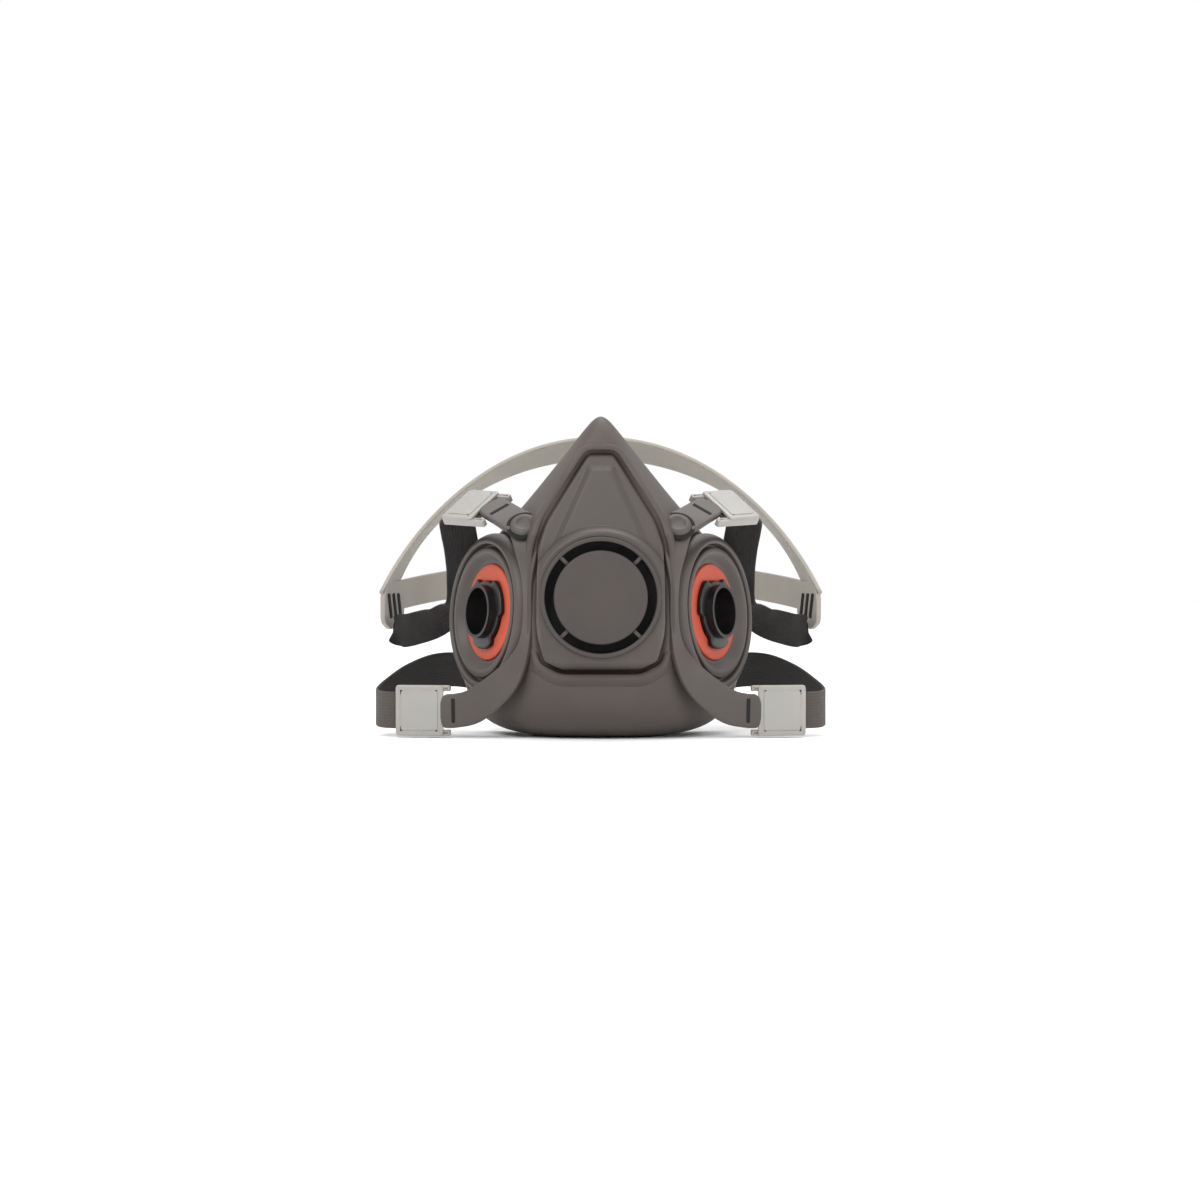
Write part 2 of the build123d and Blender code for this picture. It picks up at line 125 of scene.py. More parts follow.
UPPER_STRAP = [
    ((-50.5, -52.6, 89.2), (0.10, -0.55, 0.83)),
    ((-54.6, -47.5, 88.6), (0.0, -0.35, 0.93)),
    ((-57.8, -41.6, 86.8), (-0.20, 0.0, 0.98)),
    ((-57.8, -35.0, 82.5), (-0.25, 0.35, 0.90)),
    ((-57.0, -22.0, 74.5), (-0.30, 0.45, 0.84)),
    ((-57.0, -4.0, 63.5), (-0.30, 0.75, 0.58)),
    ((-59.0, 9.0, 51.5), (-0.50, 0.84, 0.20)),
    ((-67.5, 15.5, 44.5), (-0.62, 0.78, 0.05)),
    ((-79.0, 20.8, 40.5), (-0.60, 0.80, 0.0)),
    ((-86.0, 25.2, 39.4), (-0.60, 0.80, 0.0)),
    ((-88.0, 26.8, 39.4), (-0.60, 0.80, 0.0)),
]
LOWER_STRAP = [
    ((-70.5, -61.4, 10.4), (-0.17, -0.98, 0.0)),
    ((-76.5, -60.6, 10.4), (-0.17, -0.98, 0.0)),
    ((-82.5, -59.8, 10.4), (-0.30, -0.95, 0.0)),
    ((-87.5, -56.0, 10.6), (-0.75, -0.66, 0.0)),
    ((-89.5, -47.0, 11.5), (-1.0, 0.0, 0.0)),
    ((-87.0, -33.0, 14.5), (-0.96, 0.25, 0.05)),
    ((-79.0, -14.0, 20.0), (-0.88, 0.46, 0.08)),
    ((-68.0, 6.0, 23.5), (-0.85, 0.52, 0.05)),
    ((-55.0, 28.0, 22.0), (-0.82, 0.56, 0.0)),
    ((-40.0, 48.0, 15.0), (-0.72, 0.69, 0.0)),
    ((-22.0, 62.0, 8.6), (-0.50, 0.86, 0.0)),
    ((-7.0, 67.2, 8.0), (-0.10, 0.99, 0.0)),
]
CRADLE_HALF_WIDTH = 91.5
CRADLE_CORNER = (26.0, 53.0)
CROWN_RISE = 75.5
CROWN_LEAN = radians(30)
CROWN_START = 0.33
REAR_DEPTH = 77.0
REAR_CLIMB = 10.0
REAR_START = 0.50
CORNER = ((-88.6, 29.5, 52.0), (-0.883, 0.469, 0.0), (0.469, 0.883, 0.0))
UPPER_BUCKLE_RUN = (-0.75, 0.62, 0.05)
LOWER_BUCKLE_RUN = (-0.985, 0.17, 0.0)
BUCKLE_BARS = (6.5, 12.0, 18.0)
BUCKLE_MARGIN = 2.2
SHELL_PROFILE = [(19.5, -4.2), (31.6, -4.2), (32.0, -1.0), (30.4, 1.9), (28.8, 2.9), (27.4, 2.4),
                 (27.2, -0.6), (26.0, -0.6), (25.8, 2.3), (23.8, 2.4), (21.4, -0.3), (20.6, -1.0),
                 (19.5, -1.0)]
SHELL_EDGES = [0.3, 0.6, 1.6, 1.2, 1.0, 0.6, 0.4, 0.4, 0.6, 0.9, 0.8, 0.3, 0.3]
FLANGE_PROFILE = [(9.9, -2.9), (12.2, -2.9), (12.2, 0.2), (12.6, 0.3), (12.6, 1.9), (10.6, 2.2)]
FLANGE_EDGES = [0.1, 0.1, 0.1, 0.3, 0.6, 0.2]
STUD_PROFILE = [(0, 1.0), (5.6, 1.0), (5.6, 2.2), (4.6, 3.1), (3.2, 3.2), (2.4, 2.5), (0, 2.4)]
STUD_EDGES = [0, 0.3, 0.8, 0.7, 0.5, 0.8, 0]
CAMERA_TARGET = (-0.0003, -0.055, 0.0539)
CAMERA_LIFT = radians(1.0)
CAMERA_DISTANCE = 1.2
# name, place, aim, size in metres and power in watts
LIGHTS = [
    ("key", (-0.5, -0.9, 0.9), (0, -0.02, 0.05), 0.7, 9.0),
    ("fill", (0.8, -0.7, 0.5), (0, -0.02, 0.05), 0.8, 4.0),
    ("top", (0.1, 0.3, 1.1), (0, 0.0, 0.05), 0.8, 7.0),
]


def linear(code):
    """sRGB hex colour to the linear red, green, blue and alpha that shaders take."""
    srgb = np.array([int(code[i:i + 2], 16) for i in (1, 3, 5)]) / 255
    low = srgb / 12.92
    high = ((srgb + 0.055) / 1.055) ** 2.4
    return (*np.where(srgb <= 0.04045, low, high).tolist(), 1.0)


# ---- property groups ----
def colour(name, description, code):
    return bpy.props.FloatVectorProperty(
        name=name, description=description, subtype="COLOR", size=4, min=0.0, max=1.0, default=linear(code))


def length(name, description, millimetres):
    return bpy.props.FloatProperty(name=name, description=description, subtype="DISTANCE", unit="LENGTH",
                                   min=0.0, default=millimetres * MM)


class MaskSizes(bpy.types.PropertyGroup):
    face_wall: length("Face wall", "Thickness of the soft facepiece", 2.4)
    yoke_width: length("Yoke width", "Width of the yoke band", 13.5)
    yoke_thick: length("Yoke thickness", "Thickness of the yoke band", 2.2)
    strap_width: length("Strap width", "Width of the elastic straps", 14.5)
    strap_thick: length("Strap thickness", "Thickness of the elastic straps", 1.3)
    crown_width: length("Crown width", "Width of the cradle's crown band", 15.0)
    rear_width: length("Rear width", "Width of the cradle's rear band", 12.5)
    cradle_thick: length("Cradle thickness", "Thickness of the cradle", 1.8)
    buckle_width: length("Buckle width", "Length of a buckle along its pin", 20.0)
    buckle_reach: length("Buckle reach", "Size of a buckle away from its pin", 20.5)


class MaskColours(bpy.types.PropertyGroup):
    facepiece: colour("Facepiece", "Soft moulded facepiece", "#3f3733")
    housing: colour("Housing", "Front housing", "#3a332f")
    cover: colour("Cover", "Exhalation valve cover", "#352e2b")
    port_shell: colour("Port shell", "Shell round each inlet", "#453e3a")
    yoke: colour("Yoke", "Yoke bands and studs", "#403935")
    cradle: colour("Cradle", "Head cradle", "#8f8a81")
    buckle: colour("Buckle", "Strap buckles", "#8f8c88")
    gasket: colour("Gasket", "Inlet gaskets", "#b0462c")
    connector: colour("Connector", "Bayonet connectors", "#0b090a")
    # painted shade: near black for the valve seat, slots and gaps, where shade falls
    recess: colour("Recess", "Valve seat and the dark slots", "#040303")
    strap_outside: colour("Strap outside", "Outer face of the straps", "#453f3b")
    # the straps' inner face is painted near black, far darker than the outer face
    strap_inside: colour("Strap inside", "Inner face of the straps", "#120d0b")
    silicone: colour("Silicone", "Valve flaps", "#b9b4ab")


# ---- numpy shapes ----
def unit(v):
    return v / np.linalg.norm(v, axis=-1, keepdims=True)


def smooth(stations, steps):
    """Catmull-Rom curve: each span is the cubic through two stations, sloped as their neighbours lie."""
    p = np.array(stations, float)
    p = np.vstack([2 * p[0] - p[1], p, 2 * p[-1] - p[-2]])
    a, b, c, d = (p[i:len(p) - 3 + i, None] for i in range(4))
    t = np.linspace(0, 1, steps, endpoint=False)[None, :, None]
    square, cube = 2 * a - 5 * b + 4 * c - d, 3 * b - a - 3 * c + d
    curve = 0.5 * (2 * b + (c - a) * t + square * t ** 2 + cube * t ** 3)
    return np.vstack([curve.reshape(-1, p.shape[1]), p[-2]])


def spline_weights(count, samples, closed):
    """Weights of the uniform cubic B-spline on each control point, for each sample along it."""
    t = np.linspace(0, count, samples, endpoint=False) if closed else np.linspace(-1, count, samples)
    span = np.floor(t).astype(int)
    f = t - span
    second, third = 3 * f ** 3 - 6 * f ** 2 + 4, -3 * f ** 3 + 3 * f ** 2 + 3 * f + 1
    blend = np.stack([(1 - f) ** 3, second, third, f ** 3]) / 6
    weights = np.zeros((samples, count))
    for k in range(4):
        index = (span + k - 1) % count if closed else np.clip(span + k - 1, 0, count - 1)
        np.add.at(weights, (np.arange(samples), index), blend[k])
    return weights


def rounded(corners, radii, steps=5, closed=True):
    """Outline whose corners are rounded: each corner becomes the parabola that meets both its edges."""
    p = np.array(corners, float)
    before, after = np.roll(p, 1, 0) - p, np.roll(p, -1, 0) - p
    reach_before = np.minimum(radii, 0.48 * np.linalg.norm(before, axis=1))[:, None]
    reach_after = np.minimum(radii, 0.48 * np.linalg.norm(after, axis=1))[:, None]
    if not closed:
        reach_before[[0, -1]] = 0
        reach_after[[0, -1]] = 0
    start, end = p + unit(before) * reach_before, p + unit(after) * reach_after
    t = np.linspace(0, 1, steps)[None, :, None]
    curve = (1 - t) ** 2 * start[:, None] + 2 * t * (1 - t) * p[:, None] + t ** 2 * end[:, None]
    line = curve.reshape(-1, 2)
    keep = np.linalg.norm(line - np.roll(line, 1, 0), axis=1) > 1e-6
    if not closed:
        keep[0] = True
    return line[keep]


def block(half, low, high, corner, at=0.0):
    """Rectangle with rounded corners, half wide each way from at."""
    return rounded([(at + half, low), (at + half, high), (at - half, high), (at - half, low)],
                   np.full(4, corner))


def ring_section(inner, outer, low, high, drop=0.0, edges=(0.7, 0.7)):
    """Section of a ring: its front slopes back by drop to the outer edge, and its front edges are rounded."""
    return rounded([(inner, low), (outer, low), (outer, high - drop), (inner, high)],
                   np.array([0.2, 0.2, *edges]))


def band_section(width, thick, corner):
    """Cross-section of a flat band with rounded edges, as across and outward distances."""
    w, h = width / 2, thick / 2
    line = rounded([(w, h), (-w, h), (-w, -h), (w, -h)], np.full(4, corner), 4)
    dense = []
    for here, there in zip(line, np.roll(line, -1, 0)):
        pieces = max(1, int(np.linalg.norm(there - here) / 1.5))
        dense.append(here + (there - here) * np.arange(pieces)[:, None] / pieces)
    return np.vstack(dense)


def frame_of(origin, outward, along):
    """Three axes with the third along outward and the first as near to along as it can be."""
    z = unit(np.array(outward, float))
    x = np.array(along, float)
    x = unit(x - z * (x @ z))
    return np.array(origin, float), np.stack([x, np.cross(z, x), z])


def placed(points, place):
    """Local points to the working frame."""
    origin, axes = place
    return origin + points @ axes


def mirrored(points, side):
    return points if side == "left" else points * MIRROR


def sided(points, faces, side):
    """A left-side shape, or its mirror image with its faces turned back outward."""
    return mirrored(points, side), faces if side == "left" else [face[::-1] for face in faces]


PORT = frame_of(PORT_CENTRE, PORT_FACING, (0.484, -0.875, 0.0))
VALVE = frame_of(VALVE_CENTRE, (0, -1, 0), (1, 0, 0))


def add_piece(name, points, faces, body, material, replaced=(), uv=None, side_values=None):
    """Mesh object from points in the working frame; faces are turned outward where the shape is closed."""
    corners = points + SHIFT
    tri = np.array([(f[0], f[i], f[i + 1]) for f in faces for i in range(1, len(f) - 1)])
    a, b, c = corners[tri[:, 0]], corners[tri[:, 1]], corners[tri[:, 2]]
    if np.einsum("ij,ij->i", a, np.cross(b, c)).sum() < 0:
        faces = [tuple(reversed(f)) for f in faces]
    mesh = bpy.data.meshes.new(name)
    mesh.from_pydata((corners * MM).tolist(), [], faces)
    mesh.shade_smooth()
    if uv is not None:
        layer = mesh.uv_layers.new(name="UVMap")
        loops = np.zeros(len(mesh.loops), int)
        mesh.loops.foreach_get("vertex_index", loops)
        layer.uv.foreach_set("vector", (uv[loops] * MM).ravel())
    if side_values is not None:
        mesh.attributes.new("side", "FLOAT", "POINT").data.foreach_set("value", side_values)
    mesh.update()
    piece = bpy.data.objects.new(name, mesh)
    bpy.context.scene.collection.objects.link(piece)
    mesh.materials.append(material)
    if body:
        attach(piece, body)
    if replaced:
        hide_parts(*replaced)
    return piece


def grid_faces(rows, columns, wrap_rows, wrap_columns):
    """Quads between neighbouring rows and columns of a grid of points."""
    i = np.arange(rows if wrap_rows else rows - 1)[:, None]
    j = np.arange(columns if wrap_columns else columns - 1)[None, :]
    a = i * columns + j
    b = i * columns + (j + 1) % columns
    c = (i + 1) % rows * columns + (j + 1) % columns
    d = (i + 1) % rows * columns + j
    return np.stack([a + 0 * b, b + 0 * a, c, d], -1).reshape(-1, 4)


def fan(ring, centre):
    """Triangles from a ring of points to the point that closes it."""
    return [(ring[k], ring[(k + 1) % len(ring)], centre) for k in range(len(ring))]


def tube_mesh(rings):
    """Points and faces of a closed shape: rings joined in order, with both end rings closed by a fan."""
    rows, columns = rings.shape[:2]
    points = np.vstack([rings.reshape(-1, 3), rings[0].mean(0), rings[-1].mean(0)])
    faces = [tuple(f) for f in grid_faces(rows, columns, False, True).tolist()]
    faces += fan(list(range(columns))[::-1], rows * columns)
    faces += fan(list(range((rows - 1) * columns, rows * columns)), rows * columns + 1)
    return points, faces


def lathe(profile, place, segments=128, lobes=None):
    """Surface of revolution: the profile's radius and height turned round the place's third axis.

    A profile that starts and ends on the axis gives a solid; any other is a closed ring. lobes gives a
    change of radius for each profile point and angle."""
    profile = np.array(profile, float)
    angle = np.linspace(0, 2 * np.pi, segments, endpoint=False)
    solid = profile[0, 0] < 1e-9
    rows = profile[1:-1] if solid else profile
    radius = rows[:, :1] + (lobes(rows, angle) if lobes else 0.0)
    height = np.repeat(rows[:, 1:], segments, 1)
    rings = np.stack([radius * np.cos(angle), radius * np.sin(angle), height], -1)
    if solid:
        points, faces = tube_mesh(rings)
    else:
        points = rings.reshape(-1, 3)
        faces = [tuple(f) for f in grid_faces(*rings.shape[:2], True, True).tolist()]
    return placed(points, place), faces


def plate(outline, low, high, fillet, place):
    """Flat plate: the outline stacked from low to high and drawn in by a quarter circle at both faces."""
    outline = np.array(outline, float)
    ahead = unit(np.roll(outline, -1, 0) - np.roll(outline, 1, 0))
    inward = np.stack([-ahead[:, 1], ahead[:, 0]], 1)
    if np.einsum("i,i->", outline[:, 0], np.roll(outline[:, 1], -1) - np.roll(outline[:, 1], 1)) < 0:
        inward = -inward
    turn = np.linspace(0, np.pi / 2, 5)
    draw, lift = fillet * (1 - np.sin(turn)), fillet * (1 - np.cos(turn))
    inset = np.concatenate([[3 * fillet], draw, draw[::-1], [3 * fillet]])
    level = np.concatenate([[low], low + lift, high - lift[::-1], [high]])
    flat = outline[None] + inward[None] * inset[:, None, None]
    rings = np.concatenate([flat, np.broadcast_to(level[:, None, None], (*flat.shape[:2], 1))], -1)
    points, faces = tube_mesh(rings)
    return placed(points, place), faces


def ribbon(stations, section, steps, ends=None, widths=None):
    """Band carried along a smooth line: the section's axes follow the facing given at each station.

    ends draws the band's width in towards its two ends by a quarter circle of that length, and widths gives
    the band's share of the section's width at each station."""
    line = smooth([p for p, f in stations], steps)
    facing = smooth([f for p, f in stations], steps)
    ahead = np.gradient(line, axis=0)
    across = unit(np.cross(facing, ahead))
    out = unit(np.cross(ahead, across))
    run = np.concatenate([[0], np.cumsum(np.linalg.norm(np.diff(line, axis=0), axis=1))])
    wide = np.ones(len(run)) if widths is None else smooth(np.array(widths)[:, None], steps)[:, 0]
    if ends:
        scale = wide
        for reach, away in zip(ends, (run, run[-1] - run)):
            if reach > 0:
                t = np.clip(away / reach, 0.0, 1.0)
                wide = np.minimum(wide, scale * (0.45 + 0.55 * np.sqrt(1 - (1 - t) ** 2)))
    rings = (line[:, None] + across[:, None] * (section[None, :, :1] * wide[:, None, None])
             + out[:, None] * section[None, :, 1:])
    points, faces = tube_mesh(rings)
    uv = np.stack([np.repeat(run, len(section)), np.tile(section[:, 0], len(run))], 1)
    uv = np.vstack([uv, [0, 0], [run[-1], 0]])
    side = np.append(np.tile(section[:, 1] > 0, len(run)), [False, False]).astype(float)
    return points, faces, uv, side, run[-1]


# ---- materials ----
def node(tree, kind, settings=None, links=None):
    """Add a node, set its properties and sockets, and link its inputs."""
    new = tree.nodes.new(kind)
    for key, value in (settings or {}).items():
        if isinstance(key, str) and hasattr(new, key):
            setattr(new, key, value)
        else:
            new.inputs[key].default_value = value
    for key, source in (links or {}).items():
        tree.links.new(source, new.inputs[key])
    return new


def new_material(name):
    material = bpy.data.materials.new(name)
    material.use_nodes = True
    material.node_tree.nodes.clear()
    return material, material.node_tree


def scaled(shade, factor):
    return (*[min(1.0, c * factor) for c in shade[:3]], 1.0)


def moulded(name, shade, roughness, grain_mm, grain_depth_mm, mottle=0.10, coat=0.0, soft=0.0):
    """Moulded polymer: even colour with a faint slow mottle, a fine eroded grain and a satin gloss."""
    material, tree = new_material(name)
    place = node(tree, "ShaderNodeTexCoord").outputs["Object"]
    slow = node(tree, "ShaderNodeTexNoise", {"Scale": 1 / 0.018, "Detail": 3.0}, {"Vector": place})
    grain = node(tree, "ShaderNodeTexNoise",
                 {"Scale": 1 / (grain_mm * MM), "Detail": 2.0, "Roughness": 0.6}, {"Vector": place})
    ramp = node(tree, "ShaderNodeValToRGB", {}, {"Fac": slow.outputs["Fac"]})
    ramp.color_ramp.elements[0].position = 0.3
    ramp.color_ramp.elements[1].position = 0.7
    ramp.color_ramp.elements[0].color = scaled(shade, 1 - mottle)
    ramp.color_ramp.elements[1].color = scaled(shade, 1 + mottle)
    gloss = node(tree, "ShaderNodeMapRange", {"To Min": roughness - 0.05, "To Max": roughness + 0.06},
                 {"Value": grain.outputs["Fac"]})
    bump = node(tree, "ShaderNodeBump", {"Strength": 0.6, "Distance": grain_depth_mm * MM},
                {"Height": grain.outputs["Fac"]})
    shader = node(tree, "ShaderNodeBsdfPrincipled",
                  {"IOR": 1.5, "Coat Weight": coat, "Subsurface Weight": soft, "Subsurface Scale": 0.002},
                  {"Base Color": ramp.outputs["Color"], "Roughness": gloss.outputs["Result"],
                   "Normal": bump.outputs["Normal"]})
    node(tree, "ShaderNodeOutputMaterial", {}, {"Surface": shader.outputs["BSDF"]})
    return material


def woven_elastic(name, outside, inside):
    """Braided elastic webbing: lengthwise rubber ribs 1.2 mm apart under crosswise yarns 0.7 mm apart."""
    material, tree = new_material(name)
    uv = node(tree, "ShaderNodeTexCoord").outputs["UV"]
    split = node(tree, "ShaderNodeSeparateXYZ", {}, {"Vector": uv})
    side = node(tree, "ShaderNodeAttribute", {"attribute_name": "side"})
    waves = []
    for axis, pitch in (("X", 0.9), ("Y", 1.2)):
        turns = node(tree, "ShaderNodeMath", {"operation": "MULTIPLY", 1: 2 * np.pi / (pitch * MM)},
                     {0: split.outputs[axis]})
        waves.append(node(tree, "ShaderNodeMath", {"operation": "SINE"}, {0: turns.outputs[0]}))
    weave = node(tree, "ShaderNodeMath", {"operation": "MULTIPLY"},
                 {0: waves[0].outputs[0], 1: waves[1].outputs[0]})
    ribs = node(tree, "ShaderNodeMath", {"operation": "MULTIPLY_ADD", 1: 0.6},
                {0: waves[1].outputs[0], 2: weave.outputs[0]})
    pile = node(tree, "ShaderNodeTexNoise", {"Scale": 1 / (0.5 * MM), "Detail": 3.0}, {"Vector": uv})
    height = node(tree, "ShaderNodeMath", {"operation": "ADD"},
                  {0: ribs.outputs[0], 1: pile.outputs["Fac"]})
    shade = node(tree, "ShaderNodeMix", {"data_type": "RGBA", 6: inside, 7: outside},
                 {"Factor": side.outputs["Fac"]})
    # painted light and shade on the weave: its tone follows the relief, darker in the hollows and lighter on
    # the ribs
    dark = node(tree, "ShaderNodeMapRange",
                {"From Min": -1.5, "From Max": 2.4, "To Min": 0.72, "To Max": 1.2},
                {"Value": height.outputs[0]})
    tint = node(tree, "ShaderNodeMix", {"data_type": "RGBA", "blend_type": "MULTIPLY", "Factor": 1.0},
                {6: shade.outputs[2], 7: dark.outputs["Result"]})
    bump = node(tree, "ShaderNodeBump", {"Strength": 0.7, "Distance": 0.15 * MM},
                {"Height": height.outputs[0]})
    shader = node(tree, "ShaderNodeBsdfPrincipled",
                  {"Roughness": 0.85, "Sheen Weight": 0.03, "Sheen Roughness": 0.5},
                  {"Base Color": tint.outputs[2], "Normal": bump.outputs["Normal"]})
    node(tree, "ShaderNodeOutputMaterial", {}, {"Surface": shader.outputs["BSDF"]})
    return material


# name, colour, roughness, grain size and depth in millimetres, then mottle, coat and softness if they differ
FINISHES = {
    # soft matte skin that catches broad light without a sharp highlight
    "elastomer": ("thermoplastic elastomer moulded", "facepiece", 0.58, 0.5, 0.05),
    # a finer grain and a tighter satin highlight than the skin round it
    "housing": ("polyamide moulded satin", "housing", 0.50, 0.35, 0.03),
    # a coarser, duller face that sets the disc off from the boss
    "cover": ("polyamide cover textured", "cover", 0.62, 0.45, 0.06),
    # smooth satin that shows the dish and its groove by their highlights
    "port_shell": ("elastomer port shell moulded", "port_shell", 0.50, 0.4, 0.03),
    # even satin band that reads as one bendable strip
    "yoke": ("polyurethane yoke moulded", "yoke", 0.52, 0.4, 0.03),
    # near black with a clear highlight along the collar's edge
    "connector": ("black nylon moulded", "connector", 0.38, 0.3, 0.02),
    # painted shade: flat black put in the bore, slots, notches, the ring round each stud and the valve's
    # ring, where shade falls
    "recess": ("nylon matt black moulded", "recess", 0.85, 0.3, 0.01),
    # saturated orange-red, a little light under its surface
    "gasket": ("silicone gasket moulded", "gasket", 0.55, 0.4, 0.02, 0.05, 0.0, 0.15),
    # pale, slightly cloudy disc
    "silicone": ("silicone flap moulded", "silicone", 0.4, 0.3, 0.01, 0.04, 0.0, 0.2),
    # waxy grey-beige band with soft edges
    "cradle": ("polyethylene cradle moulded", "cradle", 0.55, 0.5, 0.03, 0.06, 0.0, 0.1),
    # milky plate that light enters, with a shinier face
    "buckle": ("natural polypropylene moulded", "buckle", 0.36, 0.4, 0.02, 0.03, 0.1, 0.35),
}
MATERIALS = {}


def finish(key):
    """The named finish, made once; the strap is webbing whose inner face is painted far darker than its outer
    face.
    """
    if key not in MATERIALS:
        tone = bpy.context.scene.mask_colours
        if key == "strap":
            MATERIALS[key] = woven_elastic("braided elastic webbing", tone.strap_outside, tone.strap_inside)
        else:
            name, colour_name, *look = FINISHES[key]
            MATERIALS[key] = moulded(name, getattr(tone, colour_name), *look)
    return MATERIALS[key]


# ---- facepiece ----
def cut_hole(points, faces, place, radius, side):
    """Round hole: points of the wall inside the radius move out onto it, and the faces between them go."""
    origin, axes = place
    local = (mirrored(points, side) - origin) @ axes.T
    distance = np.linalg.norm(local[:, :2], axis=1)
    inside = (distance < radius) & (np.abs(local[:, 2]) < 16)
    stretch = radius / np.maximum(distance, 1e-6)
    local[inside, :2] *= stretch[inside, None]
    moved = mirrored(placed(local, place), side)
    points = np.where(inside[:, None], moved, points)
    return points, faces[~inside[faces].all(1)]


def press_under_ports(points):
    """Seat of each port shell: inside its radius the wall lies flat behind it, and slopes up outside."""
    for side in ("left", "right"):
        origin, axes = PORT
        local = (mirrored(points, side) - origin) @ axes.T
        distance = np.linalg.norm(local[:, :2], axis=1)
        ceiling = -4.6 + 1.3 * np.maximum(distance - 32.6, 0)
        near = (distance < 44) & (local[:, 2] > -30) & (mirrored(points, side)[:, 0] < 0)
        local[:, 2] = np.where(near, np.minimum(local[:, 2], ceiling), local[:, 2])
        points = np.where(near[:, None], mirrored(placed(local, PORT), side), points)
    return points


def facepiece_surface(around=384, along=150):
    """B-spline surface over the control net, closed round the mask, with a hole behind the valve."""
    left = np.array(FACE_NET, float) * [-1, 1, 1]
    ring = np.concatenate([left, left[-2:0:-1] * MIRROR])
    spokes = unit((ring[:, :1] - VALVE_CENTRE) * [1, 0, 1])
    hub = VALVE_CENTRE + spokes * 17.2 + [0, -79.2, 0]
    net = np.concatenate([hub, ring], 1)
    rows = spline_weights(net.shape[0], around, True)
    columns = spline_weights(net.shape[1], along, False)
    points = np.einsum("ur,vc,rcx->uvx", rows, columns, net).reshape(-1, 3)
    points = press_under_ports(points)
    points[:, 2] = np.maximum(points[:, 2], 0.05)
    faces = grid_faces(around, along, True, False)
    for side in ("left", "right"):
        points, faces = cut_hole(points, faces, PORT, 12.15, side)
    return points, faces


def rim_surface(skin, segments=320):
    """Raised rim round the housing: a section swept round its outline, with an upright inner wall that leaves
    a groove, a flat top, and an outer slope that runs down into the skin."""
    angle = np.linspace(0, 2 * np.pi, segments, endpoint=False)
    reach = outline_reach(angle)
    edge = np.stack([reach * np.cos(angle), reach * np.sin(angle) + VALVE_CENTRE[2]], 1)
    ahead = unit(np.roll(edge, -3, 0) - np.roll(edge, 3, 0))
    outward = np.stack([ahead[:, 1], -ahead[:, 0]], 1)
    top = np.interp(edge[:, 1], RIM_LEVELS, RIM_TOPS)
    front = skin[skin[:, 1] < -40]
    foot = edge + outward * RIM_REACH
    apart = np.hypot(front[None, :, 0] - foot[:, None, 0], front[None, :, 2] - foot[:, None, 1])
    ground = -front[np.argmin(apart, 1), 1]
    ground = sum(np.roll(ground, turn) for turn in range(-2, 3)) / 5
    rows = []
    for away, share in RIM_SECTION:
        if share is None:
            depth = np.minimum(top, ground + 4) - 8.0
        elif share < 0:
            depth = top + share
        else:
            depth = top + (ground - RIM_SINK - top) * share
        place = edge + outward * away
        rows.append(np.stack([place[:, 0], -depth, place[:, 1]], 1))
    return np.stack(rows)


class MASK_OT_facepiece(bpy.types.Operator):
    """Soft facepiece: nose, cheeks, chin and the turned-in face seal"""
    bl_idname = "mask.facepiece"
    bl_label = "Facepiece"

    def execute(self, context):
        points, faces = facepiece_surface()
        used = np.unique(faces)
        index = np.zeros(len(points), int)
        index[used] = np.arange(len(used))
        piece = add_piece("facepiece_skin", points[used], [tuple(f) for f in index[faces].tolist()], "mask",
                          finish("elastomer"), ["facepiece"])
        wall = piece.modifiers.new("wall", "SOLIDIFY")
        wall.thickness = context.scene.mask_sizes.face_wall
        wall.offset = -1.0
        wall.use_even_offset = False
        rings = rim_surface(points[used])
        faces = [tuple(f) for f in grid_faces(*rings.shape[:2], True, True).tolist()]
        add_piece("facepiece_rim", rings.reshape(-1, 3), faces, "mask", finish("elastomer"))
        return {"FINISHED"}


# ---- front housing ----
def outline_reach(angle):
    """Distance from the valve axis to the housing's edge: its half planes joined by a soft minimum."""
    right = np.array(HOUSING_OUTLINE)
    corners = np.vstack([right, (right * [-1, 1])[::-1]]) - [0, VALVE_CENTRE[2]]
    edge = np.roll(corners, -1, 0) - corners
    normal = unit(np.stack([-edge[:, 1], edge[:, 0]], 1))
    away = np.einsum("ij,ij->i", normal, corners)
    normal, away = normal * np.sign(away)[:, None], np.abs(away)
    direction = np.stack([np.cos(angle), np.sin(angle)], 1)
    pull = np.maximum(direction @ normal.T / away, 1e-6)
    return (pull ** 80).sum(1) ** (-1 / 80)


def round_over(inside, reach):
    """Rise of a rounded edge: a quarter circle over the given reach inside the edge, then flat."""
    t = np.clip(inside / reach, 0, 1)
    return np.sqrt(1 - (1 - t) ** 2)


def housing_front(x, z, edge):
    """Front face of the housing: a plane that leans back above the bend, a raised plateau with bevelled
    sides, and a boss round the valve made of a disc and a rounded block below it."""
    lean = 17.0 / 37.5
    bend = z - 74.0
    plane = 85.0 - lean * 0.5 * (bend + np.sqrt(bend ** 2 + 16.0))
    half = np.interp(z, [74.0, 107.0], [20.0, 5.2])
    plateau = 1.8 * np.clip(np.minimum(half - np.abs(x), 107.5 - z) / 2.6, 0, 1)
    disc = 27.5 - np.hypot(x, z - VALVE_CENTRE[2])
    block = np.minimum(24.6 - np.abs(x), np.minimum(z - 27.8, 60.0 - z))
    boss = 92.0 - (92.0 - plane) * (1 - round_over(np.maximum(disc, block) + 0.4, 3.4))
    raised = np.where(np.maximum(disc, block) > -0.4, boss, plane)
    front = np.maximum(plane + plateau, raised)
    return front - 1.6 * (1 - round_over(edge, 1.6))


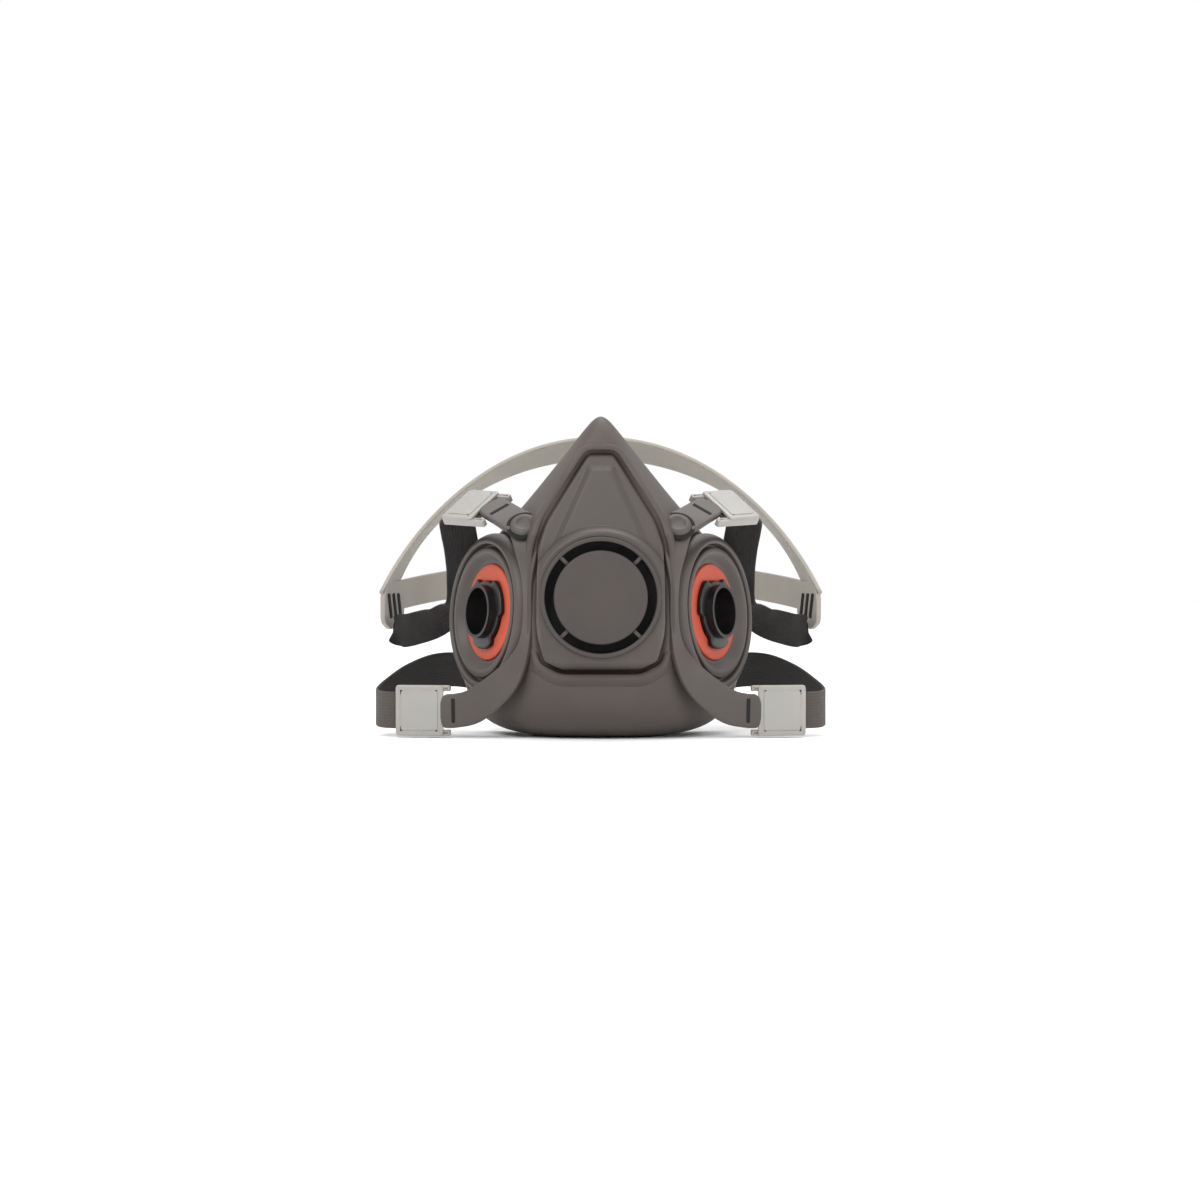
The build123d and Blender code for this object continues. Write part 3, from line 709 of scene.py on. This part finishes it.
def housing_surface(segments=360):
    """Rings from the bore's back, over the front face, round the edge and back along to the bore."""
    angle = np.linspace(0, 2 * np.pi, segments, endpoint=False)
    reach = outline_reach(angle)
    edge = np.sin(np.linspace(0, np.pi / 2, 14)[1:])
    share = np.concatenate([np.linspace(0, 0.93, 90), 0.93 + 0.07 * edge])
    radius = 23.55 + (reach[None] - 23.55) * share[:, None]
    x, z = radius * np.cos(angle), radius * np.sin(angle) + VALVE_CENTRE[2]
    depth = housing_front(x, z, reach[None] - radius)
    lip = np.stack([x[0], z[0], depth[0]], -1)
    front = np.stack([x, z, depth], -1)
    back_plane = 80.4 - 17.0 / 37.5 * np.maximum(z - 74.0, 0)
    floor = np.stack([x[0], z[0], np.full(segments, 84.0)], -1)
    inner = np.stack([17.0 * np.cos(angle), 17.0 * np.sin(angle) + VALVE_CENTRE[2]], -1)
    rings = [
        np.concatenate([inner, np.full((segments, 1), 80.4)], -1),
        np.concatenate([inner, np.full((segments, 1), 84.0)], -1),
        floor,
        lip * [1, 1, 0] + [0, 0, 91.3],
        *front,
        np.stack([x[-1], z[-1], back_plane[-1]], -1),
    ]
    rings = np.stack(rings)
    return np.stack([rings[..., 0], -rings[..., 2], rings[..., 1]], -1)


class MASK_OT_housing(bpy.types.Operator):
    """Front housing: leaning panel, raised plateau and the boss that holds the exhalation valve"""
    bl_idname = "mask.housing"
    bl_label = "Front housing"

    def execute(self, context):
        rings = housing_surface()
        faces = [tuple(f) for f in grid_faces(*rings.shape[:2], True, True).tolist()]
        panel = add_piece("housing_panel", rings.reshape(-1, 3), faces, "mask", finish("housing"),
                          ["front_housing"])
        # painted shade: the bore's inner rings take the near-black finish, where shade falls inside it
        panel.data.materials.append(finish("recess"))
        bore = np.arange(len(faces)) < 3 * rings.shape[1]
        panel.data.polygons.foreach_set("material_index", bore.astype(np.int32))
        return {"FINISHED"}


class MASK_OT_exhalation_valve(bpy.types.Operator):
    """Exhalation valve: plain cover disc on four spokes in a ring slot"""
    bl_idname = "mask.exhalation_valve"
    bl_label = "Exhalation valve"

    def execute(self, context):
        disc = [(0, 91.4), (18.2, 91.4), (18.2, 93.9), (0, 94.0)]
        disc = rounded(disc, np.array([0, 0.3, 0.9, 0]), 5, False)
        shapes = [lathe(disc, VALVE, 160), lathe(ring_section(21.7, 23.5, 86.2, 93.4), VALVE, 160)]
        section = block(0.75, 91.6, 93.2, 0.4)
        for quarter in range(4):
            turn = np.pi / 4 + quarter * np.pi / 2
            out = np.array([np.cos(turn), np.sin(turn), 0.0])
            wide = np.array([-np.sin(turn), np.cos(turn), 0.0])
            bar = (np.array([17.9, 22.0])[:, None, None] * out + section[None, :, :1] * wide
                   + section[None, :, 1:] * np.array([0, 0, 1.0]))
            points, faces = tube_mesh(bar)
            shapes.append((placed(points, VALVE), faces))
        points, faces = joined(shapes)
        add_piece("valve_cover_grille", points, faces, "valve_cover", finish("cover"),
                  ["valve_cover"])
        return {"FINISHED"}


def joined(shapes):
    """Several shapes as one list of points and faces."""
    points, faces, start = [], [], 0
    for shape_points, shape_faces in shapes:
        points.append(shape_points)
        faces += [tuple(int(i) + start for i in f) for f in shape_faces]
        start += len(shape_points)
    return np.vstack(points), faces


# ---- inlet ports ----
def teardrop(rows, angle):
    """The shell's rim reaches a little further down than up, as a soft point."""
    down = np.clip(-np.sin(angle - 0.12), 0, 1) ** 5
    share = np.clip((rows[:, :1] - 24) / 8, 0, 1)
    return 2.6 * down[None] * share


def lug_lobes(rows, angle):
    """Three lugs: the flange's edge swells outward over a third of each turn."""
    wave = np.clip((np.cos(3 * (angle - 0.5)) + 0.35) * 3, 0, 1)
    return np.where(rows[:, :1] > 11.5, 2.4 * wave[None], 0.0)


class MASK_OT_ports(bpy.types.Operator):
    """Inlet ports: dished shell, gasket and bayonet connector on both cheeks"""
    bl_idname = "mask.ports"
    bl_label = "Inlet ports"

    def execute(self, context):
        shell = lathe(rounded(SHELL_PROFILE, np.array(SHELL_EDGES)), PORT, 144, teardrop)
        gasket = lathe(ring_section(12.4, 19.4, -3.0, 0.0, 0.2), PORT, 128)
        collar = lathe(ring_section(9.5, 10.8, -12.0, 5.0, 0.0, (0.6, 0.5)), PORT, 128)
        flange = lathe(rounded(FLANGE_PROFILE, np.array(FLANGE_EDGES)), PORT, 144, lug_lobes)
        pieces = (
            ("port_shell_dish", [shell], "port_shell", "port_shell_plastic", ["port_shell"]),
            ("inlet_gasket", [gasket], "gasket", "gasket_rubber", ["inhalation_gasket"]),
            ("inlet_collar", [collar, flange], "connector", "connector_plastic", []),
        )
        for side in ("left", "right"):
            for name, shapes, look, slot, nodes in pieces:
                points, faces = joined(shapes)
                add_piece(side + "_" + name, mirrored(points, side), faces, "mask", finish(look),
                          [side + "_" + n for n in nodes])
        return {"FINISHED"}


# ---- yokes and studs ----
class MASK_OT_yokes(bpy.types.Operator):
    """Yokes: flexible bands round the ports with rounded tabs at both ends, and the studs that hold them"""
    bl_idname = "mask.yokes"
    bl_label = "Yokes and studs"

    def execute(self, context):
        sizes = context.scene.mask_sizes
        section = band_section(sizes.yoke_width / MM, sizes.yoke_thick / MM, 0.7)
        seat = frame_of(*STUD_SEAT, (1, 0, 0))
        head = rounded(STUD_PROFILE, np.array(STUD_EDGES), 5, False)
        for side in ("left", "right"):
            line = UPPER_TAB + YOKE_LINE + LOWER_TAB
            share = [w * MM / sizes.yoke_width for w in YOKE_WIDTHS]
            points, faces = ribbon(line, section, 14, (4.5, 2.5), share)[:2]
            add_piece(side + "_yoke_band", mirrored(points, side), faces, "mask", finish("yoke"),
                      [side + "_yoke"])
            # painted shade: a near-black ring round each stud and a near-black bar in each tab's slot stand
            # for the shade there
            marks = [lathe([(5.4, 0.6), (7.0, 0.6), (7.0, 1.7), (5.4, 1.7)], seat, 72)]
            for (here, face), (there, _) in ((UPPER_TAB[0], YOKE_LINE[0]), (LOWER_TAB[0], YOKE_LINE[-1])):
                ahead = np.array(there) - here
                tab = frame_of(np.array(here) + 0.85 * ahead, face, ahead)
                marks.append(plate(block(0.7, -4.8, 4.8, 0.5), 0.4, 1.25, 0.1, tab))
            points, faces = joined(marks)
            add_piece(side + "_yoke_slots", mirrored(points, side), faces, "mask", finish("recess"))
            points, faces = lathe(head, seat, 72)
            add_piece(side + "_yoke_stud_head", mirrored(points, side), faces, "mask", finish("yoke"),
                      [side + "_yoke_stud"])
        return {"FINISHED"}


# ---- buckles ----
def pin_place(name):
    """Frame of a buckle: the first axis along its pin, the second away from it."""
    joint = next(j for j in frame["record"]["behaviour"]["joints"] if j["name"] == name)
    origin = np.array(joint["pos_m"]) / MM - SHIFT
    along = unit(np.array(joint["axis"], float))
    return origin, along


def buckle_shapes(place, width, reach, start):
    """Ladder buckle: a front plate with a raised face, three ladder bars behind it and a rail down each side.
    """
    w = width / 2
    raised = block(w - BUCKLE_MARGIN, start + BUCKLE_MARGIN, reach - BUCKLE_MARGIN, 1.0)
    shapes = [plate(block(w, start, reach, 1.6), 0.3, 1.7, 0.45, place), plate(raised, 1.5, 2.0, 0.2, place)]
    shapes += [plate(block(w - 1, bar - 1.3, bar + 1.3, 0.5), -2.4, -0.9, 0.4, place) for bar in BUCKLE_BARS]
    rails = [block(1.2, -1.2, reach, 0.8, edge) for edge in (w - 1.2, 1.2 - w)]
    shapes += [plate(rail, -2.4, 0.6, 0.4, place) for rail in rails]
    return shapes


class MASK_OT_buckles(bpy.types.Operator):
    """Buckles: the four ladder buckles at the ends of the yokes"""
    bl_idname = "mask.buckles"
    bl_label = "Buckles"

    def execute(self, context):
        sizes = context.scene.mask_sizes
        for level, hinge, run, body, start in (
                ("upper", "left_upper_buckle_hinge", UPPER_BUCKLE_RUN, "upper_buckle", 4.6),
                ("lower", "left_neck_strap_swing", LOWER_BUCKLE_RUN, "neck_strap", 1.2)):
            origin, along = pin_place(hinge)
            outward = unit(np.cross(along, run))
            outward = outward if outward[1] < 0 else -outward
            place = (origin, np.stack([along, unit(run - along * (along @ run)), outward]))
            width, reach = sizes.buckle_width / MM, sizes.buckle_reach / MM
            points, faces = joined(buckle_shapes(place, width, reach, start))
            rows = (start + 2.8, 18.2) if level == "lower" else (start + 2.8,)
            for side in ("left", "right"):
                add_piece(side + "_" + level + "_ladder_buckle", mirrored(points, side), faces,
                          side + "_" + body, finish("buckle"),
                          [side + "_" + level + "_buckle"])
                # painted shade: small near-black plates at the buckle's corners stand for the shade in its
                # notches
                marks = [plate(block(1.0, v - 0.4, v + 0.4, 0.3, u), 1.5, 1.8, 0.05, place)
                         for u in (-7.2, 7.2) for v in rows]
                marked, corners = joined(marks)
                add_piece(side + "_" + level + "_buckle_notches", mirrored(marked, side), corners,
                          side + "_" + body, finish("recess"))
        return {"FINISHED"}


# ---- cradle ----
def arch(count, start):
    """Side and rise of an arc that leaves its corners at an angle: a circle's top, stretched to fit."""
    angle = start + (np.pi - 2 * start) * np.linspace(0, 1, count)
    return -np.cos(angle) / np.cos(start), (np.sin(angle) - np.sin(start)) / (1 - np.sin(start))


def crown_line(count):
    """Crown band: an arch in a plane that leans back from the corners."""
    side, rise = arch(count, CROWN_START)
    depth, height = CRADLE_CORNER
    line = np.stack([CRADLE_HALF_WIDTH * side, depth + CROWN_RISE * rise * np.sin(CROWN_LEAN),
                     height + CROWN_RISE * rise * np.cos(CROWN_LEAN)], 1)
    out = np.stack([side, 0.6 * rise ** 3 + 0.45 * (1 - rise) ** 3, 0.8 * rise ** 0.6 + 0.02], 1)
    return list(zip(line, out))


def rear_line(count):
    """Rear band: an arch behind the corners that climbs a little."""
    side, rise = arch(count, REAR_START)
    depth, height = CRADLE_CORNER
    line = np.stack([CRADLE_HALF_WIDTH * side, depth + REAR_DEPTH * rise, height + REAR_CLIMB * rise], 1)
    return list(zip(line, np.stack([side, 0.5 + 0.5 * rise, 0 * rise], 1)))


class MASK_OT_cradle(bpy.types.Operator):
    """Head cradle: crown band, rear band and corner plates in one moulding, with near-black bars on the
    corners as painted shade of their slots
    """
    bl_idname = "mask.cradle"
    bl_label = "Head cradle"

    def execute(self, context):
        sizes = context.scene.mask_sizes
        thick = sizes.cradle_thick / MM
        share = 0.72 + 0.28 * np.sin(np.pi * np.linspace(0, 1, 49)) ** 0.7
        crown = ribbon(crown_line(49), band_section(sizes.crown_width / MM, thick, 0.6), 3, None, share)
        rear = ribbon(rear_line(49), band_section(sizes.rear_width / MM, thick, 0.6), 3)
        shapes, slots = [crown[:2], rear[:2]], []
        place = frame_of(*CORNER)
        corner = rounded([(-8, -3), (-4, -8.5), (8, -8.5), (8, 6.5), (-2, 12.5), (-8, 9)], np.full(6, 2.5))
        points, faces = plate(corner[::-1], -thick / 2 - 0.05, thick / 2 + 0.6, 0.5, place)
        for side in ("left", "right"):
            shapes.append(sided(points, faces, side))
            # painted shade: near-black bars on each corner stand for the shade in its three slots
            for at in (-5.2, -1.4, 2.4):
                bar = np.array([(0.9, -5.0), (3.0, 5.5), (1.4, 5.8), (-0.7, -4.7)]) + (at, 1.5)
                bar = plate(rounded(bar, np.full(4, 0.6)), -thick / 2 - 0.5, thick / 2 + 0.9, 0.1, place)
                slots.append(sided(*bar, side))
        points, faces = joined(slots)
        add_piece("cradle_strap_turns", points, faces, "head_harness", finish("recess"))
        points, faces = joined(shapes)
        add_piece("cradle_moulding", points, faces, "head_harness", finish("cradle"),
                  ["head_cradle"])
        return {"FINISHED"}


# ---- straps ----
class MASK_OT_straps(bpy.types.Operator):
    """Elastic straps: the upper ones run to the cradle and the lower ones to the neck clip"""
    bl_idname = "mask.straps"
    bl_label = "Straps"

    def execute(self, context):
        sizes = context.scene.mask_sizes
        section = band_section(sizes.strap_width / MM, sizes.strap_thick / MM, 0.5)
        for side in ("left", "right"):
            for level, stations, body, taper in (("upper", UPPER_STRAP, None, 5.0),
                                                 ("lower", LOWER_STRAP, side + "_neck_strap", 0.0)):
                points, faces, uv, facing, _ = ribbon(stations, section, 10, (0.0, taper))
                piece = add_piece(side + "_" + level + "_webbing", mirrored(points, side), faces, body,
                                  finish("strap"), [side + "_" + level + "_strap"], uv,
                                  facing)
                if body is None:
                    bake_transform(piece)
        return {"FINISHED"}


# ---- finishes of the CAD nodes that stay ----
class MASK_OT_frame_finishes(bpy.types.Operator):
    """Finishes of the pieces that keep their own shape: connectors, valve parts and the neck clip"""
    bl_idname = "mask.frame_finishes"
    bl_label = "Frame finishes"

    def execute(self, context):
        # painted shade: the valve seat behind the cover takes the near-black finish
        looks = {"exhalation_valve_seat": "recess", "exhalation_valve_flap": "silicone",
                 "neck_hook": "yoke", "neck_loop": "yoke"}
        for side in ("left_", "right_"):
            looks.update({side + "bayonet_connector": "connector", side + "inhalation_flap": "silicone",
                          side + "retaining_ring": "connector", side + "cradle_peg": "cradle"})
        for name, look in looks.items():
            mesh = frame["nodes"][name].data
            mesh.materials.clear()
            mesh.materials.append(finish(look))
        return {"FINISHED"}


# ---- stage ----
def area_light(name, place, target, size, power):
    data = bpy.data.lights.new(name, "AREA")
    data.shape, data.size, data.energy = "SQUARE", size, power
    light = bpy.data.objects.new(name, data)
    light.location = place
    light.rotation_euler = (Vector(target) - Vector(place)).to_track_quat("-Z", "Y").to_euler()
    bpy.context.scene.collection.objects.link(light)


class MASK_OT_stage(bpy.types.Operator):
    """Stage: pale floor, soft studio light and the camera in front of the mask"""
    bl_idname = "mask.stage"
    bl_label = "Stage"

    def execute(self, context):
        scene = context.scene
        across = np.linspace(-3, 3, 7)
        x, y = np.meshgrid(across, across, indexing="ij")
        mesh = bpy.data.meshes.new("floor")
        points = np.stack([x, y, np.full_like(x, -0.0004)], -1).reshape(-1, 3)
        mesh.from_pydata(points.tolist(), [], grid_faces(7, 7, False, False).tolist())
        floor = bpy.data.objects.new("floor", mesh)
        scene.collection.objects.link(floor)
        material, tree = new_material("painted board white")
        shader = node(tree, "ShaderNodeBsdfPrincipled", {"Base Color": linear("#fdfdfd"), "Roughness": 0.9})
        node(tree, "ShaderNodeOutputMaterial", {}, {"Surface": shader.outputs["BSDF"]})
        mesh.materials.append(material)
        world = bpy.data.worlds.new("studio")
        scene.world = world
        world.use_nodes = True
        world.node_tree.nodes["Background"].inputs["Color"].default_value = (1, 1, 1, 1)
        world.node_tree.nodes["Background"].inputs["Strength"].default_value = 1.0
        for light in LIGHTS:
            area_light(*light)
        camera = bpy.data.objects.new("camera", bpy.data.cameras.new("camera"))
        camera.data.lens = 90.0
        camera.data.sensor_width = 36.0
        camera.data.clip_start = 0.05
        target = Vector(CAMERA_TARGET)
        away = Vector((0, -np.cos(CAMERA_LIFT), np.sin(CAMERA_LIFT)))
        camera.location = target + away * CAMERA_DISTANCE
        camera.rotation_euler = (target - camera.location).to_track_quat("-Z", "Y").to_euler()
        scene.collection.objects.link(camera)
        scene.camera = camera
        scene.view_settings.view_transform = "Standard"
        return {"FINISHED"}


PIECES = (MASK_OT_stage, MASK_OT_facepiece, MASK_OT_housing, MASK_OT_exhalation_valve, MASK_OT_ports,
          MASK_OT_yokes, MASK_OT_buckles, MASK_OT_cradle, MASK_OT_straps, MASK_OT_frame_finishes)


class MASK_PT_pieces(bpy.types.Panel):
    """Lists the pieces of the mask in the sidebar"""
    bl_idname = "MASK_PT_pieces"
    bl_label = "Respirator mask"
    bl_space_type = "VIEW_3D"
    bl_region_type = "UI"
    bl_category = "Mask"

    def draw(self, context):
        for piece in PIECES:
            self.layout.operator(piece.bl_idname)
        for group in (context.scene.mask_sizes, context.scene.mask_colours):
            for name in group.__annotations__:
                self.layout.prop(group, name)


CLASSES = (MaskSizes, MaskColours, *PIECES, MASK_PT_pieces)


def register():
    for cls in CLASSES:
        bpy.utils.register_class(cls)
    bpy.types.Scene.mask_sizes = bpy.props.PointerProperty(type=MaskSizes)
    bpy.types.Scene.mask_colours = bpy.props.PointerProperty(type=MaskColours)


def unregister():
    del bpy.types.Scene.mask_colours
    del bpy.types.Scene.mask_sizes
    for cls in reversed(CLASSES):
        bpy.utils.unregister_class(cls)


def main():
    register()
    for piece in PIECES:
        group, name = piece.bl_idname.split(".")
        getattr(getattr(bpy.ops, group), name)()


if __name__ == "__main__":
    main()
